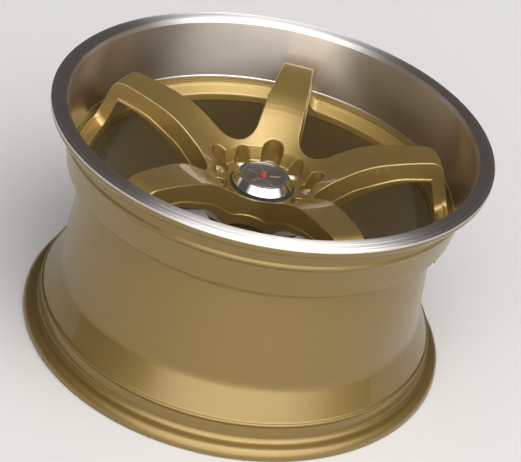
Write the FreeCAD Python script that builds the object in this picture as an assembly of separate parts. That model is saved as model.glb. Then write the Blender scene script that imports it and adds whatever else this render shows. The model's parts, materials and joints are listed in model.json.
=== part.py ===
import FreeCAD, Part
import math
import os

from FreeCAD import Vector

# Forged racing wheel, 18 x 10J, five spokes, deep outer lip. Millimetres.
# Origin: centre of the hub mounting face. +Z: wheel axis, towards the outboard face.
# One spoke points along +Y. The inflation valve stands in the window 18 degrees below +X.

# ---- driving dimensions: the tyre's side of the wheel ----
RIM_WIDTH = 254.0            # 10 inches between the flanges' tyre-side faces
OFFSET = 20.0                # mounting face outboard of the rim's centre plane
SEAT_R = 231.6               # 18 inch bead seat at the flange
FLANGE_HEIGHT = 16.9         # flange above the bead seat: J contour
CURL_R = 9.5                 # J flange curl
ROOT_R = 6.5                 # fillet between flange and bead seat
WALL = 5.0                   # barrel wall
SHELF_DROP = 23.0            # from the lip wall's foot down to the drop well's seam

# ---- driving dimensions: hub and spokes ----
SPOKES = 5
BORE_R = 36.55               # centre bore 73.1
WIDE_PCD = 114.3
NARROW_PCD = 100.0
SPOKE_HALF_ROOT = 25.0       # half width of a spoke where the valley's arc begins
SPOKE_ROOT_AT = 81.3         # distance of that point from the axis
SPOKE_TAPER = 0.0652         # loss of half width per mm outwards
VALLEY_R = 66.5              # hub radius at the bottom of a valley
LEDGE = 3.0                  # step of the spoke's back edge beyond its side
PAD_R = 62.5                 # mounting pad between the outer bosses
BOSS_R = 13.0                # boss of each outer lug hole on the pad
PAD_TOP = 24.0
LUG_FLOOR = 26.0             # floor of the lug pockets above the mounting face
RECESS_FLOOR = 33.5
WIDE_POCKET_R = 11.75
NARROW_POCKET_R = 10.0
INSERT_R = 9.0               # steel lug seat, outside
HUB_R = 71.0                 # hub node's outer face, where the spokes' node meets it
STUD_HOLE_R = 6.6            # for M12 studs
CONE_TOP_R = 8.5             # 60 degree seat

# ---- driving dimensions: centre cap ----
CAP_SEAT = 36.4              # top of the collar around the bore
CAP_R = 35.3
EMBLEM_R = 27.0
CAP_TOP = 48.5
CLIP_LEGS = 6
CAP_RIM_R = 37.2             # thin rim that rests on the collar
CAP_RIM = 0.5                # its thickness
LEG_INNER_R = 31.4
LEG_WIDTH = 12.0
CLIP_GROOVE = (12.0, 18.0)   # groove in the bore that the clip legs sit in
CLIP_GROOVE_R = 37.3
WIRE_AT = 21.0               # height of the wire ring behind the legs
WIRE_R = 0.75

# ---- driving dimensions: clamp-in valve, measured along its own axis from the wall ----
VALVE_TILT = 38.0            # degrees between the valve and the wheel axis
VALVE_AT = (208.4, 39.2)     # radius and height where its axis leaves the wall's inner side
VALVE_TURN = -18.0           # direction of the valve in plan, in degrees from +X: a window's middle
VALVE_WALL = 4.6
VALVE_HOLE_R = 5.75
STEM_R = 4.0
STEM_TIP = 30.0
TIP_THREAD_R = 3.85          # 8V1 cap thread
CORE_R = 2.55
PIN_R = 0.7
FIT = 0.05                   # running clearance, radial

OUTER_FACE = RIM_WIDTH / 2 - OFFSET          # outboard flange, tyre-side face: 107
INNER_FACE = -RIM_WIDTH / 2 - OFFSET         # inboard flange, tyre-side face: -147
FLANGE_R = SEAT_R + FLANGE_HEIGHT
FRONT = OUTER_FACE + CURL_R                  # plane of the outboard flange's widest point
BACK = INNER_FACE - CURL_R
LIP_BOTTOM = FRONT - 67.0                    # foot of the machined lip wall
STEP_OUT = (219.3, FRONT - 75.6)             # tyre side of the lip-to-centre seam
STEP_IN = (215.6, FRONT - 72.6)              # open side of that seam
WELL_TOP = LIP_BOTTOM - SHELF_DROP           # seam between the centre's ring and inner barrel
WELL_R = 202.2                               # outside of the drop well at its top
Z_AXIS = Vector(0, 0, 1)
STEP_ANGLE = 360.0 / SPOKES
HALF_STEP = STEP_ANGLE / 2                   # from a spoke's axis to the next valley's
WINDOW_SPAN = (-20.0, 140.0)                 # heights that the window cutters run between
PAST = 80.0                                  # length of cutters that only have to run out of the metal


# ---- helpers ----
def rounded(points):
    """Closed wire through (x, y, corner radius) points, each corner rounded by an arc."""
    count = len(points)
    corners = []
    for i, (x, y, radius) in enumerate(points):
        here = Vector(x, y, 0)
        before = (Vector(*points[i - 1][:2], 0) - here).normalize()
        after = (Vector(*points[(i + 1) % count][:2], 0) - here).normalize()
        if radius == 0:
            corners.append((here, here, here))
            continue
        half = before.getAngle(after) / 2
        reach = radius / math.tan(half)
        middle = (before + after).normalize() * (radius / math.sin(half) - radius)
        corners.append((here + before * reach, here + middle, here + after * reach))
    edges = []
    for i, (start, middle, end) in enumerate(corners):
        if (end - start).Length > 1e-6:
            edges.append(Part.Arc(start, middle, end).toShape())
        following = corners[(i + 1) % count][0]
        if (following - end).Length > 1e-6:
            edges.append(Part.LineSegment(end, following).toShape())
    return Part.Wire(edges)


def turned(points):
    """Solid of revolution about Z from a closed outline of (radius, height, corner radius)."""
    face = Part.Face(rounded(points))
    face.rotate(Vector(0, 0, 0), Vector(1, 0, 0), 90)
    return face.revolve(Vector(0, 0, 0), Z_AXIS, 360)


def prism(points, low, high):
    """Rounded outline in plan, extruded from low to high."""
    face = Part.Face(rounded(points))
    face.translate(Vector(0, 0, low))
    return face.extrude(Vector(0, 0, high - low))


def tube(outer, inner, low, high):
    body = Part.makeCylinder(outer, high - low, Vector(0, 0, low))
    return body.cut(Part.makeCylinder(inner, high - low, Vector(0, 0, low))) if inner else body


def around(shape, count=SPOKES, start=0.0):
    """Copies of shape, turned about Z in equal steps."""
    copies = []
    for i in range(count):
        copy = shape.copy()
        copy.rotate(Vector(0, 0, 0), Z_AXIS, start + i * 360.0 / count)
        copies.append(copy)
    return copies


def at_valve(shape):
    """Moves a shape from the valve's own axis (along Z, wall's inner side at 0) into the wheel."""
    placed = shape.copy()
    placed.rotate(Vector(0, 0, 0), Vector(0, 1, 0), -VALVE_TILT)
    placed.translate(Vector(VALVE_AT[0], 0, VALVE_AT[1]))
    placed.rotate(Vector(0, 0, 0), Z_AXIS, VALVE_TURN)
    return placed


# ---- rim ----
def outer_lip():
    """Outboard flange, deep machined lip wall and outboard bead seat."""
    front_face = FRONT + 6.8
    return turned([
        (FLANGE_R, front_face - 1.4, 0.8),
        (FLANGE_R, OUTER_FACE, CURL_R),
        (SEAT_R, OUTER_FACE, ROOT_R),
        (SEAT_R - 1.6, OUTER_FACE - 18.5, 1.5),
        (SEAT_R - 0.4, OUTER_FACE - 21.5, 1.2),
        (SEAT_R - 0.4, OUTER_FACE - 23.5, 2.0),
        (228.0, FRONT - 37.0, 6.0),
        (222.4, FRONT - 72.2, 3.0),
        STEP_OUT + (0,),
        STEP_IN + (0,),
        (216.6, FRONT - 72.0, 0.3),
        (218.7, LIP_BOTTOM, 0.5),
        (229.3, FRONT + 0.5, 3.0),
        (231.5, front_face, 2.0),
        (FLANGE_R - 3.6, front_face - 0.7, 0.5),
        (FLANGE_R - 3.6, front_face - 1.4, 0),
        (FLANGE_R - 3.0, front_face - 1.4, 0),
        (FLANGE_R - 2.4, front_face - 0.8, 0.4),
    ])


def inner_barrel():
    """Drop well, long inner barrel, inboard hump, bead seat and flange."""
    rear_face = BACK - 3.6
    return turned([
        (WELL_R, WELL_TOP, 0),
        (211.6, FRONT - 205.0, 30.0),
        (228.3, FRONT - 239.0, 3.0),
        (SEAT_R - 0.4, INNER_FACE + 23.5, 2.0),
        (SEAT_R - 0.4, INNER_FACE + 21.5, 1.2),
        (SEAT_R - 1.6, INNER_FACE + 18.5, 1.5),
        (SEAT_R, INNER_FACE, ROOT_R),
        (FLANGE_R, INNER_FACE, CURL_R),
        (FLANGE_R, rear_face, 1.5),
        (236.5, rear_face, 4.0),
        (226.6, INNER_FACE + 2.0, 8.0),
        (224.6, INNER_FACE + 22.0, 6.0),
        (206.9, FRONT - 207.0, 30.0),
        (WELL_R - WALL + 1.0, WELL_TOP, 0),
    ])


# ---- forged centre ----
def window(grow):
    """Prism of one opening between two spokes, centred on +X. grow makes the metal wider."""
    half_step = math.radians(HALF_STEP)
    slope = math.atan(SPOKE_TAPER)
    half_vertex = half_step + slope
    width_at_axis = SPOKE_HALF_ROOT + SPOKE_TAPER * SPOKE_ROOT_AT
    along = width_at_axis / (math.tan(half_step) + SPOKE_TAPER)
    vertex = along / math.cos(half_step)
    corner = (VALLEY_R - vertex) / (1 / math.sin(half_vertex) - 1) - grow
    vertex += grow / math.sin(half_vertex)
    reach = 300.0
    far_x = vertex + reach * math.cos(half_vertex)
    far_y = reach * math.sin(half_vertex)
    return prism([(vertex, 0, corner), (far_x, -far_y, 0), (far_x, far_y, 0)], *WINDOW_SPAN)


def spoked(profile, grow):
    """A turned profile with the five windows cut through it."""
    return profile.cut(Part.Compound(around(window(grow), SPOKES, 90.0 + HALF_STEP)))


def forged_centre():
    """Hub, five spokes with their legs, and the ring that the legs stand on."""
    spokes = spoked(turned([
        (BORE_R, PAD_TOP - 2.0, 0),
        (BORE_R, CAP_SEAT, 0.6),
        (BORE_R + 3.0, CAP_SEAT, 0.8),
        (BORE_R + 4.5, RECESS_FLOOR, 1.0),
        (53.2, RECESS_FLOOR, 2.5),
        (58.5, 50.0, 1.5),
        (110.4, 84.5, 100.0),
        (155.0, 92.9, 300.0),
        (197.2, 95.8, 18.0),
        (214.0, 43.5, 0),
        (206.0, 36.0, 0),
        (200.0, 34.5, 0),
        (188.6, 71.3, 8.0),
        (156.0, 69.3, 120.0),
        (107.0, 47.6, 60.0),
        (86.0, 23.6, 12.0),
        (64.0, PAD_TOP - 2.0, 0),
    ]), 0.0)
    ledge = spoked(turned([
        (60.0, 24.0, 0),
        (60.0, 34.6, 0),
        (78.0, 34.9, 15.0),
        (104.0, 55.5, 50.0),
        (150.0, 73.2, 100.0),
        (188.0, 74.5, 0),
        (188.6, 71.3, 0),
        (156.0, 69.3, 120.0),
        (107.0, 47.6, 60.0),
        (86.0, 23.6, 12.0),
    ]), LEDGE)
    ring = turned([
        (WELL_R - WALL + 1.0, WELL_TOP, 0),
        (200.3, FRONT - 81.6, 4.0),
        (214.4, FRONT - 72.2, 1.0),
        (215.0, FRONT - 72.8, 0),
        STEP_IN + (0,),
        STEP_OUT + (0,),
        (WELL_R, WELL_TOP, 0),
    ])
    pad = tube(PAD_R, BORE_R, 0.0, PAD_TOP)
    bosses = around(Part.makeCylinder(BOSS_R, PAD_TOP, Vector(0, WIDE_PCD / 2, 0)))
    centre = spokes.fuse([ledge, ring, pad] + bosses)
    cuts = []
    for pcd, pocket_r, start in ((WIDE_PCD, WIDE_POCKET_R, 0.0), (NARROW_PCD, NARROW_POCKET_R, HALF_STEP)):
        pocket = Part.makeCylinder(pocket_r, PAST, Vector(0, pcd / 2, LUG_FLOOR))
        socket = Part.makeCylinder(INSERT_R, PAST, Vector(0, pcd / 2, -PAST / 2))
        cuts += around(pocket.fuse(socket), SPOKES, start)
    cuts.append(Part.makeCone(BORE_R + 1.0, BORE_R, 1.0))
    cuts.append(Part.makeCylinder(BORE_R, PAST, Vector(0, 0, -PAST / 2)))
    low, high = CLIP_GROOVE
    cuts.append(Part.makeCylinder(CLIP_GROOVE_R, high - low, Vector(0, 0, low)))
    cuts.append(at_valve(valve_opening()))
    return centre.cut(Part.Compound(cuts)).removeSplitter()


def lug_seats(pcd, start):
    """Five pressed-in steel seats with 60 degree cones."""
    cone_depth = (CONE_TOP_R - STUD_HOLE_R) * math.sqrt(3)
    seat = tube(INSERT_R, STUD_HOLE_R, 0.0, LUG_FLOOR)
    cone = Part.makeCone(STUD_HOLE_R, CONE_TOP_R, cone_depth, Vector(0, 0, LUG_FLOOR - cone_depth))
    seat = seat.cut(cone)
    seat.translate(Vector(0, pcd / 2, 0))
    return Part.Compound(around(seat, SPOKES, start))


# ---- centre cap ----
def cap_carrier():
    """Moulded cup of the cap with six clip legs that reach into the bore."""
    plate_top = CAP_TOP - 1.9
    shell = turned([
        (0, plate_top - 2.4, 0),
        (0, plate_top, 0),
        (EMBLEM_R + 0.6, plate_top, 0),
        (CAP_R - 0.6, CAP_TOP - 8.8, 0),
        (CAP_R, CAP_TOP - 8.8, 0.3),
        (CAP_R, CAP_SEAT + CAP_RIM, 0.2),
        (CAP_RIM_R, CAP_SEAT + CAP_RIM, 0.2),
        (CAP_RIM_R, CAP_SEAT, 0.1),
        (31.0, CAP_SEAT, 0),
        (31.0, CAP_SEAT + 2.6, 1.5),
        (EMBLEM_R - 2.0, plate_top - 2.4, 1.0),
    ])
    leg_ring = turned([
        (LEG_INNER_R, CAP_SEAT + 0.5, 0),
        (34.0, CAP_SEAT + 0.5, 0),
        (34.0, CLIP_GROOVE[1] + 1.0, 1.0),
        (36.2, CLIP_GROOVE[1] - 2.0, 0.6),
        (34.4, CLIP_GROOVE[0] + 0.8, 0.8),
        (LEG_INNER_R, CLIP_GROOVE[0] + 0.8, 0.8),
        (LEG_INNER_R, WIRE_AT - 1.0, 0.3),
        (32.4, WIRE_AT - 0.2, 0.2),
        (32.4, WIRE_AT + 0.2, 0.2),
        (LEG_INNER_R, WIRE_AT + 1.0, 0.3),
    ])
    sector = Part.makeBox(LEG_WIDTH, CAP_R, CAP_TOP, Vector(-LEG_WIDTH / 2, 0, 0))
    legs = [leg_ring.common(one) for one in around(sector, CLIP_LEGS, 180.0 / CLIP_LEGS)]
    return shell.fuse(legs)


def cap_bezel():
    """Bright bevelled ring round the emblem."""
    plate_top = CAP_TOP - 1.9
    return turned([
        (EMBLEM_R + 0.6, plate_top, 0),
        (EMBLEM_R + 0.1, plate_top, 0),
        (EMBLEM_R + 0.1, CAP_TOP - 0.3, 0.2),
        (EMBLEM_R + 0.8, CAP_TOP, 0.3),
        (28.9, CAP_TOP, 0.4),
        (CAP_R - 0.3, CAP_TOP - 8.4, 0.3),
        (CAP_R - 0.6, CAP_TOP - 8.8, 0),
    ])


def emblem_disc():
    return tube(EMBLEM_R, 0, CAP_TOP - 1.9, CAP_TOP - 0.7)


def emblem_ring():
    return tube(EMBLEM_R - 2.2, EMBLEM_R - 2.9, CAP_TOP - 0.7, CAP_TOP - 0.45)


def emblem_blades():
    """Five small tapered blades in a star: a plain ornament."""
    blade = prism([(6.5, -1.9, 0.5), (19.0, -0.9, 0.5), (21.0, 1.2, 0.4), (7.5, 2.6, 0.5)],
                  CAP_TOP - 0.7, CAP_TOP - 0.45)
    return Part.Compound(around(blade, SPOKES, 90.0))


def emblem_dot():
    return tube(3.2, 0, CAP_TOP - 0.7, CAP_TOP - 0.4)


def cap_wire():
    """Round wire ring that springs the clip legs outwards."""
    return Part.makeTorus(LEG_INNER_R - 0.2, WIRE_R, Vector(0, 0, WIRE_AT))


# ---- clamp-in valve, drawn along Z and then tilted into place ----
def valve_opening():
    """Hole through the ring with a flat spot face on each side."""
    hole = Part.makeCylinder(VALVE_HOLE_R, 40.0, Vector(0, 0, -20.0))
    inside = Part.makeCylinder(8.3, 12.0, Vector(0, 0, 0))
    tyre_side = Part.makeCylinder(8.6, 12.0, Vector(0, 0, -VALVE_WALL - 12.0))
    return hole.fuse([inside, tyre_side])


def valve_stem():
    """Metal stem: head on the tyre side, plain shank, cap thread, stepped bore."""
    head = -VALVE_WALL - 2.6
    return turned([
        (1.6, head - 2.4, 0),
        (7.2, head - 2.4, 0.6),
        (7.2, head, 0.4),
        (STEM_R, head, 0),
        (STEM_R, 17.0, 0),
        (TIP_THREAD_R - 0.6, 18.0, 0),
        (TIP_THREAD_R - 0.6, 19.0, 0),
        (TIP_THREAD_R, 19.6, 0),
        (TIP_THREAD_R, STEM_TIP - 0.6, 0),
        (TIP_THREAD_R - 0.6, STEM_TIP, 0),
        (CORE_R, STEM_TIP, 0),
        (CORE_R, 8.0, 0),
        (1.6, 7.0, 0),
    ])


def valve_grommet():
    """Rubber seal between the stem's head and the wheel, with a neck in the hole."""
    return turned([
        (STEM_R, -VALVE_WALL - 2.6, 0),
        (7.6, -VALVE_WALL - 2.6, 0.5),
        (7.6, -VALVE_WALL, 0),
        (VALVE_HOLE_R, -VALVE_WALL, 0),
        (VALVE_HOLE_R, -1.0, 0),
        (STEM_R, -1.0, 0),
    ])


def valve_washer():
    return tube(7.8, STEM_R, 0.0, 1.2)


def valve_nut():
    """Hexagon nut, 13 mm across flats, with a chamfered top."""
    across = 13.0
    low, high = 1.2, 6.2
    corner = across / math.sqrt(3)
    hexagon = prism([(corner * math.cos(math.radians(a)), corner * math.sin(math.radians(a)), 0)
                     for a in range(30, 390, 60)], low, high)
    chamfer = turned([(0, low, 0), (corner, low, 0), (corner, high - 0.6, 0),
                      (across / 2, high, 0), (0, high, 0)])
    return hexagon.common(chamfer).cut(Part.makeCylinder(STEM_R, high))


def valve_core_body():
    """Threaded plug that holds the valve core in the stem's bore."""
    bore = PIN_R + FIT
    return turned([
        (bore, 17.0, 0),
        (1.9, 17.0, 0),
        (1.9, 20.0, 0),
        (CORE_R - 0.5, 20.6, 0),
        (CORE_R - 0.5, 22.0, 0),
        (CORE_R, 22.4, 0),
        (CORE_R, 27.2, 0),
        (1.5, 28.2, 0),
        (bore, 28.2, 0),
    ])


def valve_core_seal():
    """Soft ring on the plug's waist that seals it in the bore."""
    return tube(CORE_R, 1.9, 18.0, 19.8)


def valve_core_pin():
    """Pin with its poppet, pressed inwards to let air out."""
    return turned([
        (0, 9.6, 0),
        (1.8, 9.6, 0.3),
        (1.8, 11.2, 0.3),
        (PIN_R, 11.6, 0),
        (PIN_R, 29.3, 0.3),
        (0, 29.3, 0),
    ])


def valve_core_spring():
    """Fine coil between the poppet and the plug."""
    low, high, coil_r, wire_r = 12.1, 16.5, 1.25, 0.17
    path = Part.makeHelix((high - low) / 6.0, high - low, coil_r)
    section = Part.Wire(Part.makeCircle(wire_r, Vector(coil_r, 0, 0), Vector(0, 1, 0)))
    spring = Part.Wire(path).makePipeShell([section], True, True)
    spring.translate(Vector(0, 0, low))
    return Part.Solid(spring) if spring.ShapeType == "Shell" else spring


def dust_cap():
    """Knurled metal cap on the stem's thread."""
    low, high, outer = 20.5, 32.2, 5.0
    cap = turned([
        (TIP_THREAD_R + FIT, low, 0),
        (outer, low, 0.5),
        (outer, high, 1.0),
        (0, high, 0),
        (0, high - 1.4, 0),
        (TIP_THREAD_R + FIT, high - 1.4, 0),
    ])
    groove = Part.makeCylinder(0.45, high - low - 4.0, Vector(outer + 0.15, 0, low + 1.5))
    return cap.cut(Part.Compound(around(groove, 20)))


def dust_cap_gasket():
    return tube(3.6, 0, STEM_TIP + 0.05, STEM_TIP + 0.7)


def main():
    os.makedirs("parts", exist_ok=True)
    centre = forged_centre()
    hub = tube(HUB_R, 0, -PAST, PAST)
    nodes = {
        "outer_lip": outer_lip(),
        "inner_barrel": inner_barrel(),
        "forged_hub": centre.common(hub),
        "forged_spokes": centre.cut(hub),
        "wide_lug_seats": lug_seats(WIDE_PCD, 0.0),
        "narrow_lug_seats": lug_seats(NARROW_PCD, HALF_STEP),
        "cap_carrier": cap_carrier(),
        "cap_bezel": cap_bezel(),
        "emblem_disc": emblem_disc(),
        "emblem_ring": emblem_ring(),
        "emblem_blades": emblem_blades(),
        "emblem_dot": emblem_dot(),
        "cap_wire": cap_wire(),
    }
    for name, make in (
        ("valve_stem", valve_stem),
        ("valve_grommet", valve_grommet),
        ("valve_washer", valve_washer),
        ("valve_nut", valve_nut),
        ("valve_core_body", valve_core_body),
        ("valve_core_seal", valve_core_seal),
        ("valve_core_pin", valve_core_pin),
        ("valve_core_spring", valve_core_spring),
        ("valve_dust_cap", dust_cap),
        ("valve_cap_gasket", dust_cap_gasket),
    ):
        nodes[name] = at_valve(make())
    for name, shape in nodes.items():
        print(f"{name:20s} valid {shape.isValid()} solids {len(shape.Solids)} volume {shape.Volume:.1f}")
        shape.exportStep(f"parts/{name}.step")


main()
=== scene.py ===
import json
import math

import bpy
import numpy as np
from mathutils import Matrix, Vector


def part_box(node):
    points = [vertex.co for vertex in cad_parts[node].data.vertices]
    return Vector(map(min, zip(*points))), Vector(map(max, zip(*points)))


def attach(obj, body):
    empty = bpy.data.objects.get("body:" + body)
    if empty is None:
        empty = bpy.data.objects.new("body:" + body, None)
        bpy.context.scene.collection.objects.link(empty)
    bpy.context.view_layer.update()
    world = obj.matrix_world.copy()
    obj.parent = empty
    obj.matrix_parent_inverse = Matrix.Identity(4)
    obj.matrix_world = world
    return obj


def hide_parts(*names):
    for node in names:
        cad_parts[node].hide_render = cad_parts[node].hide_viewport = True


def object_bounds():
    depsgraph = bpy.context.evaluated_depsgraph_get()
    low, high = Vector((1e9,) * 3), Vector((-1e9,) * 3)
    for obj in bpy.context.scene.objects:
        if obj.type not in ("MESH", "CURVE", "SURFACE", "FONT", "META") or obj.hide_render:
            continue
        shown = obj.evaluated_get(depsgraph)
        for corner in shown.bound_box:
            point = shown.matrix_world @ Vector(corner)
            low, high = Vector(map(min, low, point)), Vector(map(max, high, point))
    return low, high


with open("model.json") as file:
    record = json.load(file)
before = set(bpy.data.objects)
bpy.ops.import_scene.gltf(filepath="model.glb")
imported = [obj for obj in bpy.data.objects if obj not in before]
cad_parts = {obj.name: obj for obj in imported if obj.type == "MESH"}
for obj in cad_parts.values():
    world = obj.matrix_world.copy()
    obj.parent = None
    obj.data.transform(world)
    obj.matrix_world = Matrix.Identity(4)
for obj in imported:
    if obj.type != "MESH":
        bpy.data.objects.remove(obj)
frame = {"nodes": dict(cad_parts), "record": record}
cad_low, cad_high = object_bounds()
MM = 0.001


def box_mm(node):
    """Lowest and highest corner of a CAD node, in millimetres."""
    low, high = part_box(node)
    return [c / MM for c in low], [c / MM for c in high]


# ---- anchors read from the frame, millimetres ----
lip_high = box_mm("outer_lip")[1]
barrel_low, barrel_high = box_mm("inner_barrel")
bezel_high = box_mm("cap_bezel")[1]
mounts = {m["name"]: m for m in frame["record"]["mounts"]}
FLANGE_R = lip_high[0]
FRONT_FACE = lip_high[2]                       # top of the crowned flange face
CROWN = 6.8                                    # height of the flange's crown
FRONT = FRONT_FACE - CROWN                     # plane of the flange's widest point
REAR_FACE = barrel_low[2]
INNER_FLANGE, OUTER_FLANGE = 13.1, 9.5         # thickness of the two flanges
INNER_FACE = REAR_FACE + INNER_FLANGE          # inboard flange, tyre-side face
OUTER_FACE = FRONT - OUTER_FLANGE              # outboard flange, tyre-side face
FLANGE_HEIGHT = 16.9
SEAT_R = FLANGE_R - FLANGE_HEIGHT
LIP_WALL_DEPTH = 67.0
LIP_BOTTOM = FRONT - LIP_WALL_DEPTH
WELL_TOP = barrel_high[2]
WELL_R = 202.2
BORE_R = mounts["centre_bore"]["dims"]["r_mm"]
WIDE_R = mounts["wide_lug_circle"]["dims"]["pcd_mm"] / 2
NARROW_R = mounts["narrow_lug_circle"]["dims"]["pcd_mm"] / 2
STUD_R = mounts["wide_lug_circle"]["dims"]["hole_r_mm"]
SPOKES = 5
STEP = 2 * math.pi / SPOKES
SPOKE_AT = math.pi / 2                         # one spoke points along +Y
CAP_SEAT = 36.4                                # hub face that the cap rests on
CAP_TOP = bezel_high[2]


# ---- outlines ----
def rounded(points, turn=math.radians(6)):
    """Runs of a closed outline of (x, y, radius) corners: (p0, n0, p1, n1, index of the corner before)."""
    pts = [np.array(p[:2], float) for p in points]
    radii = [p[2] for p in points]
    count = len(pts)
    following = [pts[(i + 1) % count] for i in range(count)]
    area = sum(p[0] * q[1] - q[0] * p[1] for p, q in zip(pts, following))
    side = 1.0 if area > 0 else -1.0
    arcs = []
    for i in range(count):
        here, before, after = pts[i], pts[i - 1], following[i]
        a = (before - here) / np.linalg.norm(before - here)
        b = (after - here) / np.linalg.norm(after - here)
        half = math.acos(max(-1.0, min(1.0, float(a @ b)))) / 2
        if radii[i] <= 0 or abs(half - math.pi / 2) < 1e-4:
            arcs.append([(here, None)])
            continue
        reach = radii[i] / math.tan(half)
        middle = (a + b) / np.linalg.norm(a + b)
        centre = here + middle * (radii[i] / math.sin(half))
        start, end = here + a * reach, here + b * reach
        v0, v1 = (start - centre) / radii[i], (end - centre) / radii[i]
        sweep = math.atan2(v0[0] * v1[1] - v0[1] * v1[0], float(v0 @ v1))
        steps = max(2, int(math.ceil(abs(sweep) / turn)))
        convex = 1.0 if sweep * side > 0 else -1.0
        row = []
        for k in range(steps + 1):
            t = sweep * k / steps
            cos, sin = math.cos(t), math.sin(t)
            v = np.array([v0[0] * cos - v0[1] * sin, v0[0] * sin + v0[1] * cos])
            row.append((centre + v * radii[i], v * convex))
        arcs.append(row)
    runs = []
    for i in range(count):
        row = arcs[i]
        for k in range(len(row) - 1):
            runs.append((row[k][0], row[k][1], row[k + 1][0], row[k + 1][1], i))
        p0, p1 = row[-1][0], arcs[(i + 1) % count][0][0]
        d = p1 - p0
        if np.linalg.norm(d) > 1e-6:
            n = np.array([d[1], -d[0]]) * side / np.linalg.norm(d)
            runs.append((p0, n, p1, n, i))
    return runs


def outline(points, turn=math.radians(6)):
    return np.array([run[0] for run in rounded(points, turn)])


# ---- meshes ----
def new_object(name, verts, faces, materials, face_materials=None, loop_normals=None):
    mesh = bpy.data.meshes.new(name)
    mesh.from_pydata([tuple(v) for v in verts], [], faces)
    for m in materials:
        mesh.materials.append(m)
    if face_materials is not None:
        mesh.polygons.foreach_set("material_index", face_materials)
    mesh.polygons.foreach_set("use_smooth", [True] * len(mesh.polygons))
    if loop_normals is not None:
        mesh.normals_split_custom_set([tuple(n) for n in loop_normals])
    mesh.update()
    obj = bpy.data.objects.new(name, mesh)
    bpy.context.scene.collection.objects.link(obj)
    return obj


def turned(name, points, materials, segments=360, paint=None, places=None, turn=math.radians(6)):
    """Solid of revolution about Z from a closed outline in millimetres, or one at each of places.
    paint maps a corner's index to the material of the run that starts there."""
    runs = rounded(points, turn)
    verts, faces, face_materials, normals = [], [], [], []
    index = {}
    angles = [2 * math.pi * k / segments for k in range(segments)]
    ring = [(math.cos(a), math.sin(a)) for a in angles]

    def row(p):
        key = (round(float(p[0]), 5), round(float(p[1]), 5))
        if key not in index:
            start = len(verts)
            if key[0] < 1e-4:
                verts.append((0.0, 0.0, p[1] * MM))
                index[key] = [start] * segments
            else:
                verts.extend((p[0] * c * MM, p[0] * s * MM, p[1] * MM) for c, s in ring)
                index[key] = list(range(start, start + segments))
        return index[key], key[0] < 1e-4

    area = sum(points[i - 1][0] * points[i][1] - points[i][0] * points[i - 1][1] for i in range(len(points)))
    for p0, n0, p1, n1, corner in runs:
        (a, pole_a), (b, pole_b) = row(p0), row(p1)
        if pole_a and pole_b:
            continue
        for k in range(segments):
            m = (k + 1) % segments
            corners = [(a[k], n0, k), (b[k], n1, k), (b[m], n1, m), (a[m], n0, m)]
            if pole_a:
                corners.pop(3)
            if pole_b:
                corners.pop(2)
            if area > 0:
                corners.reverse()
            faces.append([c[0] for c in corners])
            face_materials.append(paint.get(corner, 0) if paint else 0)
            normals.extend((n[0] * ring[q][0], n[0] * ring[q][1], n[1]) for _, n, q in corners)
    if places is None:
        return new_object(name, verts, faces, materials, face_materials, normals)
    all_verts, all_faces, all_normals = [], [], []
    for place in places:
        start, turn_only = len(all_verts), place.to_3x3()
        all_verts += [place @ Vector(v) for v in verts]
        all_faces += [[start + c for c in face] for face in faces]
        all_normals += [turn_only @ Vector(n) for n in normals]
    return new_object(name, all_verts, all_faces, materials, face_materials * len(places), all_normals)


# ---- the forged centre, as a distance field in millimetres ----
def polygon_distance(poly, x, y):
    """Signed distance to a closed polygon, negative inside."""
    best = np.full(x.shape, 1e9)
    inside = np.zeros(x.shape, bool)
    for (x0, y0), (x1, y1) in zip(poly, np.roll(poly, -1, axis=0)):
        ex, ey = x1 - x0, y1 - y0
        length = ex * ex + ey * ey
        if length < 1e-12:
            continue
        wx, wy = x - x0, y - y0
        t = np.clip((wx * ex + wy * ey) / length, 0, 1)
        best = np.minimum(best, (wx - ex * t) ** 2 + (wy - ey * t) ** 2)
        if abs(ey) > 1e-12:
            inside ^= ((y0 <= y) != (y1 <= y)) & (x < x0 + ex * (y - y0) / ey)
    return np.where(inside, -1, 1) * np.sqrt(best)


class Profile:
    """Distance to a turned outline, looked up by radius and height on a fine grid."""
    R0, R1, Z0, Z1, FINE = 30.0, 226.0, -6.0, 104.0, 0.3

    def __init__(self, points):
        rs = np.arange(self.R0, self.R1, self.FINE)
        zs = np.arange(self.Z0, self.Z1, self.FINE)
        r, z = np.meshgrid(rs, zs, indexing="ij")
        self.grid = polygon_distance(outline(points, math.radians(5)), r, z)

    def __call__(self, r, z):
        i = np.clip((r - self.R0) / self.FINE, 0, self.grid.shape[0] - 1.001)
        k = np.clip((z - self.Z0) / self.FINE, 0, self.grid.shape[1] - 1.001)
        i0, k0 = i.astype(int), k.astype(int)
        u, v = i - i0, k - k0
        g = self.grid
        return ((g[i0, k0] * (1 - v) + g[i0, k0 + 1] * v) * (1 - u)
                + (g[i0 + 1, k0] * (1 - v) + g[i0 + 1, k0 + 1] * v) * u)


def both(a, b, radius=0.0):
    """Intersection of two solids with its edge rounded."""
    if radius <= 0:
        return np.maximum(a, b)
    u, v = a + radius, b + radius
    return np.where((u > 0) & (v > 0), np.sqrt(np.maximum(u, 0) ** 2 + np.maximum(v, 0) ** 2) - radius,
                    np.maximum(a, b))


def either(a, b, radius=0.0):
    """Union of two solids with its inner corner filled by a radius."""
    return -both(-a, -b, radius)


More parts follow.
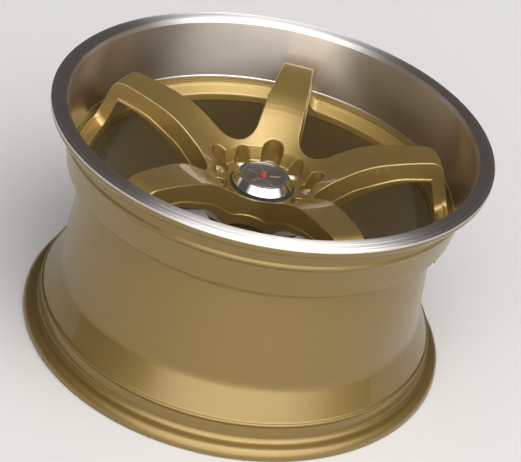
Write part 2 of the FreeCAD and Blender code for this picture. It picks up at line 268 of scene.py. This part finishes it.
SPOKE_HALF_ROOT, SPOKE_ROOT_AT, SPOKE_TAPER, VALLEY_R = 25.0, 81.3, 0.0652, 66.5
LEDGE = 3.0
EDGE = 1.3                                     # radius along the spokes' front edges
FOOT = 10.0                                    # radius between a leg's sides and the ring
DRAFT = 0.09                                   # spokes widen this much per mm below their front face
LUG_FLOOR, RECESS_FLOOR = 26.0, 33.5
WIDE_POCKET_R, NARROW_POCKET_R, INSERT_R = 11.75, 10.0, 9.0
PAD_R, PAD_TOP, BOSS_R = 62.5, 24.0, 13.0
CLIP_GROOVE_R, CLIP_GROOVE_AT, CLIP_GROOVE_HALF = 37.3, 15.0, 3.0
BORE_CHAMFER = 1.0
VALVE_TILT = math.radians(38.0)
VALVE_WALL, VALVE_HOLE_R = 4.6, 5.75
NUT_FACE_R, HEAD_FACE_R = 8.3, 8.6             # spot faces inside and outside the barrel
VALVE_SIDE = 180.0                             # only points this far out towards the valve are cut by it
VALVE_TURN = math.radians(-18.0)
VALVE_DIRECTION = np.array([math.cos(VALVE_TURN), math.sin(VALVE_TURN), 0.0])
VALVE_OUT, VALVE_HEIGHT = 208.4, 39.2
VALVE_AT = VALVE_DIRECTION * VALVE_OUT + (0, 0, VALVE_HEIGHT)
VALVE_AXIS = -VALVE_DIRECTION * math.sin(VALVE_TILT) + (0, 0, math.cos(VALVE_TILT))
STEP_OUT = (219.3, FRONT - 75.6)
STEP_IN = (215.6, FRONT - 72.6)

SPOKE_PROFILE = [
    (BORE_R - 3.0, 22.0, 0), (BORE_R - 3.0, CAP_SEAT, 0), (BORE_R + 3.0, CAP_SEAT, 0.8),
    (BORE_R + 4.5, RECESS_FLOOR, 1.0), (53.2, RECESS_FLOOR, 2.5), (58.5, 50.0, 1.5),
    (110.4, 84.5, 100.0), (155.0, 92.9, 300.0), (197.2, 95.8, 18.0), (214.0, 43.5, 0),
    (206.0, 36.0, 0), (200.0, 34.5, 0), (188.6, 71.3, 8.0), (156.0, 69.3, 120.0),
    (107.0, 47.6, 60.0), (86.0, 23.6, 12.0), (64.0, 22.0, 0)]
SPOKE_TOP = ((53.2, 33.5), (58.5, 50.0), (110.4, 84.0), (155.0, 92.7), (197.2, 95.0))
LEDGE_PROFILE = [
    (58.0, 22.5, 0), (58.0, 34.6, 0), (78.0, 34.9, 15.0), (104.0, 55.5, 50.0), (150.0, 73.2, 100.0),
    (189.5, 74.5, 0), (188.6, 71.3, 0), (156.0, 69.3, 120.0), (107.0, 47.6, 60.0), (86.0, 23.6, 12.0)]
RING_PROFILE = [
    (WELL_R - 4.0, WELL_TOP, 0), (200.3, FRONT - 81.6, 4.0), (210.4, FRONT - 75.3, 0.4),
    (210.9, FRONT - 74.2, 0.4), (214.4, FRONT - 72.2, 1.0),
    (215.0, FRONT - 72.8, 0), (*STEP_IN, 0), (*STEP_OUT, 0), (WELL_R, WELL_TOP, 0)]


def centre_field():
    """The centre's signed distance as a function of x, y, z arrays, millimetres."""
    spokes_at, ledge_at, ring_at = Profile(SPOKE_PROFILE), Profile(LEDGE_PROFILE), Profile(RING_PROFILE)
    slope = math.atan(SPOKE_TAPER)
    alpha = STEP / 2 + slope                   # half angle of a window
    reach = SPOKE_HALF_ROOT + SPOKE_TAPER * SPOKE_ROOT_AT
    vertex = reach / (math.tan(STEP / 2) + SPOKE_TAPER) / math.cos(STEP / 2)
    corner = (VALLEY_R - vertex) / (1 / math.sin(alpha) - 1)
    arc_at = vertex + corner / math.sin(alpha)
    top_radii, top_heights = zip(*SPOKE_TOP)

    def field(x, y, z):
        r = np.hypot(x, y)
        turn = np.abs((np.arctan2(y, x) - SPOKE_AT + STEP / 2) % STEP - STEP / 2)
        across, along = r * np.sin(turn), r * np.cos(turn)
        vx, vy = r * np.cos(STEP / 2 - turn), r * np.sin(STEP / 2 - turn)
        qx = vx - arc_at
        past = qx * math.cos(alpha) + vy * math.sin(alpha) > 0
        side = corner - np.where(past, vy * math.cos(alpha) - qx * math.sin(alpha), np.hypot(qx, vy))
        ring = ring_at(r, z)
        flare = DRAFT * np.maximum(np.interp(r, top_radii, top_heights) - z, 0)
        spokes = both(spokes_at(r, z), either(side - flare, ring, FOOT), EDGE)
        ledge = both(ledge_at(r, z), side - LEDGE, 1.2)
        solid = either(spokes, ledge, 1.0)
        pad = either(r - PAD_R, np.hypot(across, along - WIDE_R) - BOSS_R, 2.0)
        solid = either(solid, both(pad, np.abs(z - PAD_TOP / 2) - PAD_TOP / 2, 1.0), 3.0)
        for wall, floor_r in ((np.hypot(across, along - WIDE_R), WIDE_POCKET_R),
                              (np.hypot(vx - NARROW_R, vy), NARROW_POCKET_R)):
            pocket = both(wall - floor_r, LUG_FLOOR - z, 1.5)
            solid = both(solid, -pocket, 1.2)
            solid = np.maximum(solid, INSERT_R - wall)
        solid = np.minimum(solid, ring)
        solid = np.maximum(solid, BORE_R - r)
        solid = np.maximum(solid, (BORE_R + BORE_CHAMFER - r - z) * math.sqrt(0.5))
        groove = both(r - CLIP_GROOVE_R, np.abs(z - CLIP_GROOVE_AT) - CLIP_GROOVE_HALF)
        solid = np.maximum(solid, -groove)
        near = x * VALVE_DIRECTION[0] + y * VALVE_DIRECTION[1] > VALVE_SIDE
        if near.any():
            p = np.stack([x[near], y[near], z[near]], -1) - VALVE_AT
            s = p @ VALVE_AXIS
            off = np.sqrt(np.maximum((p * p).sum(-1) - s * s, 0))
            hole = off - VALVE_HOLE_R
            hole = np.minimum(hole, both(off - NUT_FACE_R, -s))
            hole = np.minimum(hole, both(off - HEAD_FACE_R, s + VALVE_WALL))
            solid[near] = both(solid[near], -hole, 0.3)
        return solid

    return field


def surface_net(field, radii, sectors, heights):
    """Quads around field = 0 on a grid of cylinder coordinates, closed in angle."""
    angles = np.arange(sectors) * 2 * math.pi / sectors
    values = np.empty((len(radii), sectors, len(heights)), np.float32)
    for first in range(0, sectors, 60):
        r, t, z = np.meshgrid(radii, angles[first:first + 60], heights, indexing="ij")
        values[:, first:first + 60] = field(r * np.cos(t), r * np.sin(t), z)
    inner = values < 0
    wrap = np.roll(inner, -1, axis=1)
    count = (inner[:-1, :, :-1].astype(np.int8) + inner[1:, :, :-1] + inner[:-1, :, 1:] + inner[1:, :, 1:]
             + wrap[:-1, :, :-1] + wrap[1:, :, :-1] + wrap[:-1, :, 1:] + wrap[1:, :, 1:])
    cells = np.argwhere((count > 0) & (count < 8))
    lookup = np.full(count.shape, -1, np.int32)
    lookup[tuple(cells.T)] = np.arange(len(cells))
    steps = [(0, 0, 0), (1, 0, 0), (0, 1, 0), (1, 1, 0), (0, 0, 1), (1, 0, 1), (0, 1, 1), (1, 1, 1)]
    corner = [values[cells[:, 0] + a, (cells[:, 1] + b) % sectors, cells[:, 2] + c] for a, b, c in steps]
    total, hits = np.zeros((len(cells), 3)), np.zeros(len(cells))
    for p in range(8):
        for q in range(p + 1, 8):
            a, b = np.array(steps[p], float), np.array(steps[q], float)
            if abs(a - b).sum() != 1:
                continue
            cross = (corner[p] < 0) != (corner[q] < 0)
            t = np.where(cross, corner[p] / np.where(cross, corner[p] - corner[q], 1), 0)
            total += np.where(cross[:, None], a + (b - a) * t[:, None], 0)
            hits += cross
    at = cells + total / hits[:, None]
    r = np.interp(at[:, 0], np.arange(len(radii)), radii)
    z = np.interp(at[:, 2], np.arange(len(heights)), heights)
    t = at[:, 1] * 2 * math.pi / sectors
    verts = np.stack([r * np.cos(t), r * np.sin(t), z], -1)

    quads = []
    for axis, (u, v) in ((0, (1, 2)), (1, (2, 0)), (2, (0, 1))):
        ahead = wrap if axis == 1 else np.roll(inner, -1, axis=axis)
        change = inner != ahead
        if axis != 1:
            change[tuple(slice(-1, None) if i == axis else slice(None) for i in range(3))] = False
        edge = np.argwhere(change)
        for bound in (0, 2):
            if bound != axis:
                edge = edge[(edge[:, bound] > 0) & (edge[:, bound] < inner.shape[bound] - 1)]
        rows = []
        for du, dv in ((-1, -1), (0, -1), (0, 0), (-1, 0)):
            cell = edge.copy()
            cell[:, u] += du
            cell[:, v] += dv
            cell[:, 1] %= sectors
            rows.append(lookup[cell[:, 0], cell[:, 1], cell[:, 2]])
        quad = np.stack(rows, -1)
        flip = ~inner[edge[:, 0], edge[:, 1], edge[:, 2]]
        quad[flip] = quad[flip][:, ::-1]
        quads.append(quad)
    return verts, np.concatenate(quads)


def gradient(field, p, h=0.05):
    g = np.empty_like(p)
    for axis in range(3):
        d = np.zeros(3)
        d[axis] = h
        a, b = p + d, p - d
        g[:, axis] = (field(a[:, 0], a[:, 1], a[:, 2]) - field(b[:, 0], b[:, 1], b[:, 2])) / (2 * h)
    return g


def onto(field, p, rounds=3):
    """Moves points onto the field's surface."""
    for _ in range(rounds):
        g = gradient(field, p)
        f = field(p[:, 0], p[:, 1], p[:, 2])
        move = g * (f / np.maximum((g * g).sum(-1), 0.2))[:, None]
        length = np.linalg.norm(move, axis=1, keepdims=True)
        p = p - move * np.minimum(1, 1.0 / np.maximum(length, 1e-9))
    return p


# ---- materials ----
def material(name, colour, metallic=0.0, roughness=0.5, **sockets):
    """A node material with its shader's constants set on the shader itself."""
    mat = bpy.data.materials.new(name)
    mat.use_nodes = True
    nodes, links = mat.node_tree.nodes, mat.node_tree.links
    shader = nodes["Principled BSDF"]
    shader.inputs["Base Color"].default_value = (*colour, 1)
    shader.inputs["Metallic"].default_value = metallic
    shader.inputs["Roughness"].default_value = roughness
    for key, value in sockets.items():
        shader.inputs[key.replace("_", " ")].default_value = value
    return mat, nodes, links, shader


def add(nodes, kind, **inputs):
    node = nodes.new(kind)
    for key, value in inputs.items():
        node.inputs[key.replace("_", " ")].default_value = value
    return node


def noise(nodes, links, vector, scale, detail=2.0, rough=0.5):
    node = add(nodes, "ShaderNodeTexNoise", Scale=scale, Detail=detail, Roughness=rough)
    links.new(vector, node.inputs["Vector"])
    return node.outputs["Fac"]


def spread(nodes, links, value, low, high, source=(0.0, 1.0)):
    """Maps a value's range onto low..high."""
    node = add(nodes, "ShaderNodeMapRange")
    for key, number in (("From Min", source[0]), ("From Max", source[1]), ("To Min", low), ("To Max", high)):
        node.inputs[key].default_value = number
    links.new(value, node.inputs["Value"])
    return node.outputs["Result"]


def blend_colours(nodes, links, factor, first, second):
    node = nodes.new("ShaderNodeMix")
    node.data_type = "RGBA"
    for key, value in ((6, first), (7, second)):
        if isinstance(value, tuple):
            node.inputs[key].default_value = (*value, 1)
        else:
            links.new(value, node.inputs[key])
    links.new(factor, node.inputs[0])
    return node.outputs[2]


def bump(nodes, links, shader, height, distance, strength=1.0, before=None):
    node = add(nodes, "ShaderNodeBump", Distance=distance, Strength=strength)
    links.new(height, node.inputs["Height"])
    if before is not None:
        links.new(before, node.inputs["Normal"])
    links.new(node.outputs["Normal"], shader.inputs["Normal"])
    return node.outputs["Normal"]


def gold_paint(name, depth, coat):
    """Metallic gold paint under a clear coat: fine flake, slight orange peel, a faint drift in tone."""
    # depth scales the paint's whole tone; below 1 it darkens the gold as painted shade
    def deeper(tone):
        return tuple(depth * c for c in tone)

    mat, nodes, links, shader = material(name, deeper((0.33, 0.233, 0.077)), 0.78, 0.44,
                                         Coat_Weight=coat, Coat_Roughness=0.035)
    place = nodes.new("ShaderNodeTexCoord").outputs["Object"]
    flake = noise(nodes, links, place, 2600.0, 2.0, 0.8)
    drift = noise(nodes, links, place, 9.0, 3.0)
    tone = blend_colours(nodes, links, spread(nodes, links, flake, 0.0, 1.0, (0.3, 0.7)),
                         deeper((0.315, 0.212, 0.058)), deeper((0.378, 0.262, 0.083)))
    tone = blend_colours(nodes, links, spread(nodes, links, drift, 0.0, 0.35, (0.35, 0.75)),
                         tone, deeper((0.36, 0.252, 0.080)))
    links.new(tone, shader.inputs["Base Color"])
    links.new(spread(nodes, links, flake, 0.39, 0.49, (0.3, 0.7)), shader.inputs["Roughness"])
    peel = noise(nodes, links, place, 520.0, 1.0)
    bump(nodes, links, shader, peel, 0.00002, 0.5)
    return mat


def turned_metal(name, colour, roughness, lines=0.35, coat=0.0, across=0.92):
    """Machined aluminium: fine tool lines that run round the axis, and a soft drift in the finish."""
    mat, nodes, links, shader = material(name, colour, 1.0, roughness, Anisotropic=across,
                                         Anisotropic_Rotation=0.25,
                                         Coat_Weight=coat, Coat_Roughness=0.1)
    place = nodes.new("ShaderNodeTexCoord").outputs["Object"]
    split = nodes.new("ShaderNodeSeparateXYZ")
    links.new(place, split.inputs[0])
    flat = nodes.new("ShaderNodeVectorMath")
    flat.operation = "MULTIPLY"
    flat.inputs[1].default_value = (1, 1, 0)
    links.new(place, flat.inputs[0])
    radius = nodes.new("ShaderNodeVectorMath")
    radius.operation = "LENGTH"
    links.new(flat.outputs[0], radius.inputs[0])
    cut = nodes.new("ShaderNodeCombineXYZ")
    links.new(radius.outputs["Value"], cut.inputs[0])
    links.new(split.outputs[2], cut.inputs[1])
    groove = noise(nodes, links, cut.outputs[0], 1500.0, 2.0, 0.7)
    band = noise(nodes, links, cut.outputs[0], 160.0, 2.0, 0.6)
    cloud = noise(nodes, links, place, 14.0, 2.0)
    dark, light = tuple(c * 0.86 for c in colour), tuple(min(1.0, c * 1.1) for c in colour)
    tone = blend_colours(nodes, links, spread(nodes, links, groove, 0.0, 1.0, (0.3, 0.7)), dark, light)
    tone = blend_colours(nodes, links, spread(nodes, links, band, 0.0, 0.5, (0.3, 0.7)), tone, colour)
    links.new(tone, shader.inputs["Base Color"])
    links.new(spread(nodes, links, cloud, roughness * 0.92, roughness * 1.1),
              shader.inputs["Roughness"])
    tangent = nodes.new("ShaderNodeTangent")
    tangent.direction_type = "RADIAL"
    tangent.axis = "Z"
    links.new(tangent.outputs[0], shader.inputs["Tangent"])
    bump(nodes, links, shader, groove, 0.000012, lines)
    return mat


def speckled(name, colour, metallic, roughness, grain=900.0, depth=0.00002, change=0.12, **sockets):
    """Plastic, rubber, plating or steel with a fine grain in its colour, gloss and surface."""
    mat, nodes, links, shader = material(name, colour, metallic, roughness, **sockets)
    place = nodes.new("ShaderNodeTexCoord").outputs["Object"]
    fine, broad = noise(nodes, links, place, grain, 3.0), noise(nodes, links, place, 60.0, 2.0)
    low, high = tuple(c * (1 - change) for c in colour), tuple(min(1.0, c * (1 + change)) for c in colour)
    links.new(blend_colours(nodes, links, spread(nodes, links, broad, 0.0, 1.0, (0.3, 0.7)), low, high),
              shader.inputs["Base Color"])
    links.new(spread(nodes, links, fine, roughness * 0.8, min(1.0, roughness * 1.25), (0.3, 0.7)),
              shader.inputs["Roughness"])
    bump(nodes, links, shader, fine, depth, 0.5)
    return mat


GOLD = gold_paint("gold_paint", 1.06, 0.8)
RIM_GOLD_PAINTED_SHADE = gold_paint("rim_gold_painted_shade", 0.71, 0.6)       # the same gold, darkened as painted shade
# the lip wall's machined aluminium, made darker and warmer than the flange face as painted shade and painted
# gold reflection
LIP_WALL_PAINTED_SHADE = turned_metal("machined_lip", (0.60, 0.55, 0.50), 0.30)
# the flange face's machined aluminium, lighter than the lip wall as painted light
FLANGE_PAINTED_LIGHT = turned_metal("flange_painted_light", (0.86, 0.83, 0.83), 0.40, 0.2, 0.0, 0.95)
# a near-white copy of the machined finish along the lip's bottom edge: a painted highlight
LIP_EDGE_PAINTED_HIGHLIGHT = turned_metal("lip_edge_painted_highlight", (0.92, 0.91, 0.90), 0.36)
SEAT = turned_metal("machined_seat", (0.80, 0.76, 0.68), 0.36)
CHROME = speckled("cap_chrome", (0.88, 0.88, 0.92), 1.0, 0.05, 400.0, 0.000004, 0.02)
EMBLEM = turned_metal("emblem_face", (0.44, 0.40, 0.38), 0.42, 0.35, 0.0, 0.3)
SILVER = speckled("emblem_silver", (0.80, 0.76, 0.68), 1.0, 0.3)
RED = speckled("emblem_red", (0.72, 0.02, 0.015), 0.0, 0.25, Coat_Weight=0.5)
PLASTIC = speckled("dark_plastic", (0.045, 0.043, 0.042), 0.0, 0.5, 1500.0, 0.00004)
RUBBER = speckled("rubber", (0.02, 0.02, 0.02), 0.0, 0.75, 1100.0, 0.00005)
NICKEL = speckled("valve_metal", (0.70, 0.68, 0.64), 1.0, 0.22)
BRASS = speckled("brass", (0.72, 0.50, 0.22), 1.0, 0.3)
SPRING = speckled("spring_steel", (0.42, 0.42, 0.43), 1.0, 0.32)


# ---- rim pieces ----
# Paint by corner: the flange face and its outer edge (0, 15-25) carry painted light, the lip's bottom edge
# (12, 13) a painted highlight, the lip wall (14) painted shade
lip = turned("outer_lip_turned", [
    (FLANGE_R, FRONT_FACE - 2.4, 1.0), (FLANGE_R, FRONT + 1.6, 0), (FLANGE_R, OUTER_FACE, 9.4),
    (SEAT_R, OUTER_FACE, 6.5),
    (SEAT_R - 1.6, OUTER_FACE - 18.5, 1.5), (SEAT_R - 0.4, OUTER_FACE - 21.5, 1.2),
    (SEAT_R - 0.4, OUTER_FACE - 23.5, 2.0), (228.0, FRONT - 37.0, 6.0), (222.4, FRONT - 72.2, 3.0),
    (*STEP_OUT, 0), (*STEP_IN, 0), (216.6, FRONT - 72.0, 0.3), (218.5, LIP_BOTTOM - 0.8, 0.0),
    (218.7, LIP_BOTTOM + 0.2, 0.2), (219.6, LIP_BOTTOM + 0.6, 0.2),
    (229.3, FRONT + 0.5, 2.0), (231.3, FRONT_FACE - 1.0, 1.5), (235.0, FRONT_FACE, 6.0),
    (239.6, FRONT_FACE - 0.6, 2.0), (240.2, FRONT_FACE - 1.0, 0.2), (240.8, FRONT_FACE - 1.0, 0.2),
    (241.4, FRONT_FACE - 0.8, 0.4), (FLANGE_R - 3.6, FRONT_FACE - 1.5, 0.4),
    (FLANGE_R - 3.4, FRONT_FACE - 2.1, 0.1), (FLANGE_R - 3.0, FRONT_FACE - 2.1, 0.1),
    (FLANGE_R - 2.6, FRONT_FACE - 1.6, 0.4)], [RIM_GOLD_PAINTED_SHADE, LIP_WALL_PAINTED_SHADE, LIP_EDGE_PAINTED_HIGHLIGHT, FLANGE_PAINTED_LIGHT], 360,
    {0: 3, 12: 2, 13: 2, 14: 1, **{corner: 3 for corner in range(15, 26)}})
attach(lip, "wheel")
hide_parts("outer_lip")

barrel = turned("inner_barrel_turned", [
    (WELL_R, WELL_TOP, 0), (211.6, FRONT - 205.0, 30.0), (228.3, FRONT - 239.0, 3.0),
    (SEAT_R - 0.4, INNER_FACE + 23.5, 2.0), (SEAT_R - 0.4, INNER_FACE + 21.5, 1.2),
    (SEAT_R - 1.6, INNER_FACE + 18.5, 1.5), (SEAT_R, INNER_FACE, 6.5), (FLANGE_R, INNER_FACE, 9.5),
    (FLANGE_R, REAR_FACE, 1.5), (236.5, REAR_FACE, 4.0), (226.6, INNER_FACE + 2.0, 8.0),
    (224.6, INNER_FACE + 22.0, 6.0), (206.9, FRONT - 207.0, 30.0), (WELL_R - 4.0, WELL_TOP, 0)],
    [RIM_GOLD_PAINTED_SHADE], 360)
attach(barrel, "wheel")
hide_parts("inner_barrel")


MOST_TRIANGLES = 190_000
NET_START, NET_END = (34.6, -1.6), (222.0, 98.8)    # radius and height, round the centre
NORMAL_STEP = 0.12                             # distance over which the field's slope is taken


def forged_centre():
    """The centre as one mesh, with its points and normals taken from the distance field."""
    field = centre_field()
    radial, sectors, rise = 1.35, 5 * 150, 1.2
    radii = np.arange(NET_START[0], NET_END[0], radial)
    heights = np.arange(NET_START[1], NET_END[1], rise)
    verts, quads = surface_net(field, radii, sectors, heights)
    verts = onto(field, verts)
    mesh = bpy.data.meshes.new("net")
    mesh.from_pydata((verts * MM).tolist(), [], quads.tolist())
    net = bpy.data.objects.new("net", mesh)
    bpy.context.scene.collection.objects.link(net)
    triangles = 2 * len(quads)
    if triangles > MOST_TRIANGLES:
        thin = net.modifiers.new("thin", "DECIMATE")
        thin.ratio = MOST_TRIANGLES / triangles
    graph = bpy.context.evaluated_depsgraph_get()
    final = bpy.data.meshes.new_from_object(net.evaluated_get(graph), depsgraph=graph)
    bpy.data.objects.remove(net)
    bpy.data.meshes.remove(mesh)
    count = len(final.vertices)
    co = np.empty(count * 3)
    final.vertices.foreach_get("co", co)
    points = onto(field, co.reshape(-1, 3) / MM, 2)
    final.vertices.foreach_set("co", (points * MM).ravel())
    normals = gradient(field, points, NORMAL_STEP)
    normals /= np.maximum(np.linalg.norm(normals, axis=1, keepdims=True), 1e-9)
    final.polygons.foreach_set("use_smooth", [True] * len(final.polygons))
    final.normals_split_custom_set_from_vertices([tuple(n) for n in normals])
    final.materials.append(GOLD)
    final.name = "forged_centre_cast"
    obj = bpy.data.objects.new("forged_centre_finished", final)
    bpy.context.scene.collection.objects.link(obj)
    return obj


centre = forged_centre()
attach(centre, "wheel")
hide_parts("forged_hub", "forged_spokes")


# ---- lug seats ----
def around(radius, start, turn=STEP):
    """Places on a circle about Z, radius in millimetres."""
    return [Matrix.Rotation(start + k * turn, 4, "Z") @ Matrix.Translation((radius * MM, 0, 0))
            for k in range(round(2 * math.pi / turn))]


CONE_R = 8.5                                   # wide end of a 60 degree lug cone
cone_depth = (CONE_R - STUD_R) * math.sqrt(3)
seat_outline = [
    (STUD_R + 0.5, 0.0, 0), (INSERT_R - 0.3, 0.0, 0), (INSERT_R, 0.3, 0), (INSERT_R, LUG_FLOOR - 0.3, 0),
    (INSERT_R - 0.3, LUG_FLOOR, 0), (CONE_R, LUG_FLOOR, 0.15), (STUD_R, LUG_FLOOR - cone_depth, 0.3),
    (STUD_R, 0.5, 0)]
for node, radius, start in (("wide_lug_seats", WIDE_R, SPOKE_AT),
                            ("narrow_lug_seats", NARROW_R, SPOKE_AT + STEP / 2)):
    seats = turned(node + "_turned", seat_outline, [SEAT], 96, places=around(radius, start))
    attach(seats, "wheel")
    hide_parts(node)


# ---- centre cap ----
EMBLEM_R, CAP_R = box_mm("emblem_disc")[1][0], 35.3
PLATE_TOP = CAP_TOP - 1.9
bezel = turned("cap_bezel_turned", [
    (EMBLEM_R + 0.6, PLATE_TOP, 0), (EMBLEM_R + 0.1, PLATE_TOP, 0), (EMBLEM_R + 0.1, CAP_TOP - 0.3, 0.2),
    (EMBLEM_R + 0.8, CAP_TOP, 0.3), (28.9, CAP_TOP, 0.4), (CAP_R - 0.3, CAP_TOP - 8.4, 0.3),
    (CAP_R - 0.6, CAP_TOP - 8.8, 0)], [CHROME], 192)
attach(bezel, "centre_cap")
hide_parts("cap_bezel")

# ---- CAD nodes kept as they are, with better materials ----
KEPT = {
    "cap_carrier": PLASTIC, "emblem_disc": EMBLEM, "emblem_ring": SILVER, "emblem_blades": SILVER,
    "emblem_dot": RED, "cap_wire": SPRING, "valve_stem": NICKEL, "valve_grommet": RUBBER,
    "valve_washer": NICKEL, "valve_nut": NICKEL, "valve_core_body": BRASS, "valve_core_seal": RUBBER,
    "valve_core_pin": BRASS, "valve_core_spring": SPRING, "valve_dust_cap": NICKEL,
    "valve_cap_gasket": RUBBER}
for node, mat in KEPT.items():
    mesh = frame["nodes"][node].data
    mesh.materials.clear()
    mesh.materials.append(mat)


# ---- floor, lights, camera ----
def floor_material():
    mat, nodes, links, shader = material("studio_floor", (0.60, 0.60, 0.60), 0.0, 0.75)
    place = nodes.new("ShaderNodeTexCoord").outputs["Object"]
    cloud = noise(nodes, links, place, 3.0)
    tone = blend_colours(nodes, links, cloud, (0.59, 0.59, 0.59), (0.61, 0.61, 0.61))
    links.new(tone, shader.inputs["Base Color"])
    return mat


FLOOR_Z = cad_low[2] - 0.0005
FLOOR_HALF = 7.0
floor_corners = [(x * FLOOR_HALF, y * FLOOR_HALF, FLOOR_Z) for x, y in ((-1, -1), (1, -1), (1, 1), (-1, 1))]
floor = new_object("studio_floor", floor_corners, [(0, 1, 2, 3)], [floor_material()])

world = bpy.data.worlds.new("studio")
bpy.context.scene.world = world
world.use_nodes = True
SKY = 3.4                                      # radiance in the middle of the soft light overhead
SHADE = (0.026, 0.023, 0.020)                  # surroundings away from the lights, as a share of SKY
WHITE = (1.0, 0.985, 0.97)
nodes, links = world.node_tree.nodes, world.node_tree.links
studio = nodes["Background"]
studio.inputs["Strength"].default_value = SKY
direction = nodes.new("ShaderNodeTexCoord").outputs["Generated"]
colour = SHADE
# each soft light: its direction, how wide its edge fades, and its colour at the middle
DIM_WHITE = tuple(0.8 * c for c in WHITE)
for at, edge, middle in (((0.30, -0.62, 0.72), 0.45, WHITE), ((0.12, -0.97, 0.24), 0.70, DIM_WHITE)):
    towards = nodes.new("ShaderNodeVectorMath")
    towards.operation = "DOT_PRODUCT"
    towards.inputs[1].default_value = Vector(at).normalized()
    links.new(direction, towards.inputs[0])
    fade = add(nodes, "ShaderNodeMapRange")
    fade.interpolation_type = "SMOOTHERSTEP"
    fade.inputs["From Min"].default_value = edge
    fade.inputs["From Max"].default_value = 0.97
    links.new(towards.outputs["Value"], fade.inputs["Value"])
    colour = blend_colours(nodes, links, fade.outputs["Result"], colour, middle)
links.new(colour, studio.inputs["Color"])


def soft_light(name, at, aim, width, height, power, colour=(1.0, 0.98, 0.95)):
    lamp = bpy.data.lights.new(name, "AREA")
    lamp.shape, lamp.size, lamp.size_y = "RECTANGLE", width, height
    lamp.energy, lamp.color = power, colour
    obj = bpy.data.objects.new(name, lamp)
    obj.location = at
    obj.rotation_euler = (Vector(aim) - Vector(at)).to_track_quat("-Z", "Y").to_euler()
    bpy.context.scene.collection.objects.link(obj)
    return obj


soft_light("top_softbox", (0.9, -0.7, 2.6), (0, 0, 0), 1.6, 1.6, 9)

TURN = math.radians(3.72)                      # the view's azimuth, from -Y towards +X
ELEVATION = math.radians(33.0838)
ROLL = math.radians(12.6026)
DISTANCE = 2.0656
LOOK_AT = Vector((0.01009, 0.000656, -0.02625))
level = math.cos(ELEVATION)
back = Vector((level * math.sin(TURN), -level * math.cos(TURN), math.sin(ELEVATION)))
right = Vector((math.cos(TURN), math.sin(TURN), 0))
up = back.cross(right)
view_x = right * math.cos(ROLL) + up * math.sin(ROLL)
view_y = up * math.cos(ROLL) - right * math.sin(ROLL)
place = Matrix((view_x, view_y, back)).transposed().to_4x4()
place.translation = LOOK_AT + back * DISTANCE
camera_data = bpy.data.cameras.new("camera")
camera_data.sensor_fit = "HORIZONTAL"
camera_data.sensor_width = 36.0
camera_data.lens = 124.11
camera_data.clip_end = 50.0
camera = bpy.data.objects.new("camera", camera_data)
camera.matrix_world = place
bpy.context.scene.collection.objects.link(camera)
bpy.context.scene.camera = camera

bpy.context.scene.view_settings.view_transform = "Standard"
